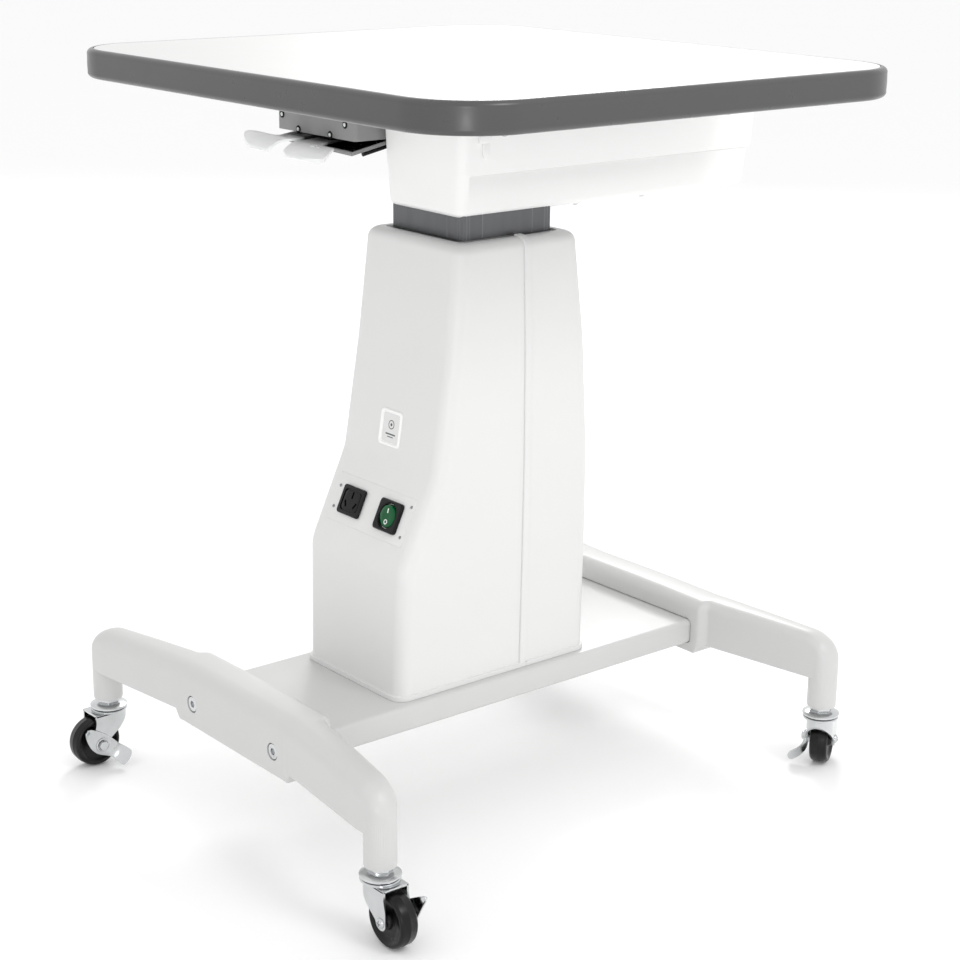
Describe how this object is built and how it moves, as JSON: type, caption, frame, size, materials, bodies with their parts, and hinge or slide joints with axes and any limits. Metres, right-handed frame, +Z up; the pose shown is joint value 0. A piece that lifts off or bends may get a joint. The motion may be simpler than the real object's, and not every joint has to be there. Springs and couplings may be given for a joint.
{
  "type": "motorised instrument table",
  "caption": "Wheeled table with a rounded top on an electrically lifted square column, worked by finger paddles, on bowed feet with braked swivel casters.",
  "frame": {"origin": "On the floor, under the column's axis, at the middle of the bounding box's base.", "axes": "+Z up; -Y towards the seated user's side with the paddles and the power panel; +X to the user's right when they face the table."},
  "size_m": [0.6, 0.646, 0.707],
  "materials": {
    "laminate": "satin laminate",
    "edge_moulding": "satin",
    "enamel": "satin",
    "cover_plastic": "satin",
    "anodised": "satin anodised",
    "grey_coat": "fine texture",
    "steel": "plain",
    "chrome": "bright",
    "tyre": "smooth",
    "black_moulding": "fine grain",
    "rocker_green": "glossy",
    "badge": "satin",
    "paddle": "satin",
    "board": "matt",
    "bush": "matt"
  },
  "bodies": {
    "base": {"badge_plate": "badge", "base_beam": "enamel", "caster_stem_front_left": "chrome", "caster_stem_front_right": "chrome", "caster_stem_rear_left": "chrome", "caster_stem_rear_right": "chrome", "cover_front": "cover_plastic", "cover_rear": "cover_plastic", "foot_bolt_front_left": "steel", "foot_bolt_front_right": "steel", "foot_bolt_rear_left": "steel", "foot_bolt_rear_right": "steel", "front_foot": "enamel", "gearbox": "grey_coat", "guide_tube": "steel", "mains_socket": "black_moulding", "mast_plate": "steel", "motor": "black_moulding", "power_panel": "cover_plastic", "power_supply": "grey_coat", "rear_foot": "enamel", "switch_frame": "black_moulding", "upper_guide_bush": "bush"},
    "lift": {"sliding_tube": "anodised", "lower_guide_bush": "bush", "lift_nut": "bush", "mast_head_plate": "steel", "tabletop": "laminate", "edge_band": "edge_moulding", "support_plate": "steel", "housing_upper": "cover_plastic", "housing_lower": "cover_plastic", "control_board": "board", "lever_box": "grey_coat", "lever_tray": "grey_coat", "paddle_pin": "steel", "microswitch_left": "black_moulding", "microswitch_right": "black_moulding", "control_cable": "black_moulding"},
    "screw": {"lead_screw": "steel"},
    "rocker": {"rocker": "rocker_green"},
    "paddle_left": {"paddle_left": "paddle"},
    "paddle_right": {"paddle_right": "paddle"},
    "caster_front_right": {"fork_front_right": "chrome", "axle_front_right": "chrome"},
    "wheel_front_right": {"wheel_front_right": "tyre"},
    "brake_front_right": {"brake_front_right": "chrome"},
    "caster_front_left": {"fork_front_left": "chrome", "axle_front_left": "chrome"},
    "wheel_front_left": {"wheel_front_left": "tyre"},
    "brake_front_left": {"brake_front_left": "chrome"},
    "caster_rear_right": {"fork_rear_right": "chrome", "axle_rear_right": "chrome"},
    "wheel_rear_right": {"wheel_rear_right": "tyre"},
    "brake_rear_right": {"brake_rear_right": "chrome"},
    "caster_rear_left": {"fork_rear_left": "chrome", "axle_rear_left": "chrome"},
    "wheel_rear_left": {"wheel_rear_left": "tyre"},
    "brake_rear_left": {"brake_rear_left": "chrome"}
  },
  "joints": [
    {"name": "lift", "type": "slide", "parent": "base", "child": "lift", "axis": [0, 0, 1], "range_m": [-0.02, 0.2]},
    {"name": "screw_turn", "type": "hinge", "parent": "base", "child": "screw", "pos_m": [0, 0, 0.3], "axis": [0, 0, 1], "range_deg": [-400, 4000]},
    {"name": "rocker_tilt", "type": "hinge", "parent": "base", "child": "rocker", "pos_m": [0.031, -0.11936, 0.29317], "axis": [1, 0, 0], "range_deg": [-14, 0]},
    {"name": "paddle_left_press", "type": "hinge", "parent": "lift", "child": "paddle_left", "pos_m": [-0.146, -0.0585, 0.6315], "axis": [1, 0, 0], "range_deg": [0, 3], "stiffness_Nm_per_rad": 0.3, "springref_deg": -8.59},
    {"name": "paddle_right_press", "type": "hinge", "parent": "lift", "child": "paddle_right", "pos_m": [-0.108, -0.0585, 0.6315], "axis": [1, 0, 0], "range_deg": [0, 3], "stiffness_Nm_per_rad": 0.3, "springref_deg": -8.59},
    {"name": "swivel_front_right", "type": "hinge", "parent": "base", "child": "caster_front_right", "pos_m": [0.23, -0.28, 0.055], "axis": [0, 0, 1], "continuous": true},
    {"name": "roll_front_right", "type": "hinge", "parent": "caster_front_right", "child": "wheel_front_right", "pos_m": [0.248, -0.28, 0.025], "axis": [0, 1, 0], "continuous": true},
    {"name": "brake_front_right_press", "type": "hinge", "parent": "caster_front_right", "child": "brake_front_right", "pos_m": [0.248, -0.28, 0.025], "axis": [0, -1, 0], "range_deg": [0, 12]},
    {"name": "swivel_front_left", "type": "hinge", "parent": "base", "child": "caster_front_left", "pos_m": [-0.23, -0.28, 0.055], "axis": [0, 0, 1], "continuous": true},
    {"name": "roll_front_left", "type": "hinge", "parent": "caster_front_left", "child": "wheel_front_left", "pos_m": [-0.23, -0.298, 0.025], "axis": [1, 0, 0], "continuous": true},
    {"name": "brake_front_left_press", "type": "hinge", "parent": "caster_front_left", "child": "brake_front_left", "pos_m": [-0.23, -0.298, 0.025], "axis": [-1, 0, 0], "range_deg": [0, 12]},
    {"name": "swivel_rear_right", "type": "hinge", "parent": "base", "child": "caster_rear_right", "pos_m": [0.23, 0.273, 0.055], "axis": [0, 0, 1], "continuous": true},
    {"name": "roll_rear_right", "type": "hinge", "parent": "caster_rear_right", "child": "wheel_rear_right", "pos_m": [0.22078, 0.28846, 0.025], "axis": [-0.859, -0.512, 0], "continuous": true},
    {"name": "brake_rear_right_press", "type": "hinge", "parent": "caster_rear_right", "child": "brake_rear_right", "pos_m": [0.22078, 0.28846, 0.025], "axis": [0.859, 0.512, 0], "range_deg": [0, 12]},
    {"name": "swivel_rear_left", "type": "hinge", "parent": "base", "child": "caster_rear_left", "pos_m": [-0.23, 0.273, 0.055], "axis": [0, 0, 1], "continuous": true},
    {"name": "roll_rear_left", "type": "hinge", "parent": "caster_rear_left", "child": "wheel_rear_left", "pos_m": [-0.22384, 0.28991, 0.025], "axis": [-0.9397, 0.342, 0], "continuous": true},
    {"name": "brake_rear_left_press", "type": "hinge", "parent": "caster_rear_left", "child": "brake_rear_left", "pos_m": [-0.22384, 0.28991, 0.025], "axis": [0.9397, -0.342, 0], "range_deg": [0, 12]}
  ],
  "couplings": [
    {"joint": "screw_turn", "follows": "lift", "rad_per_m": 314.16}
  ]
}
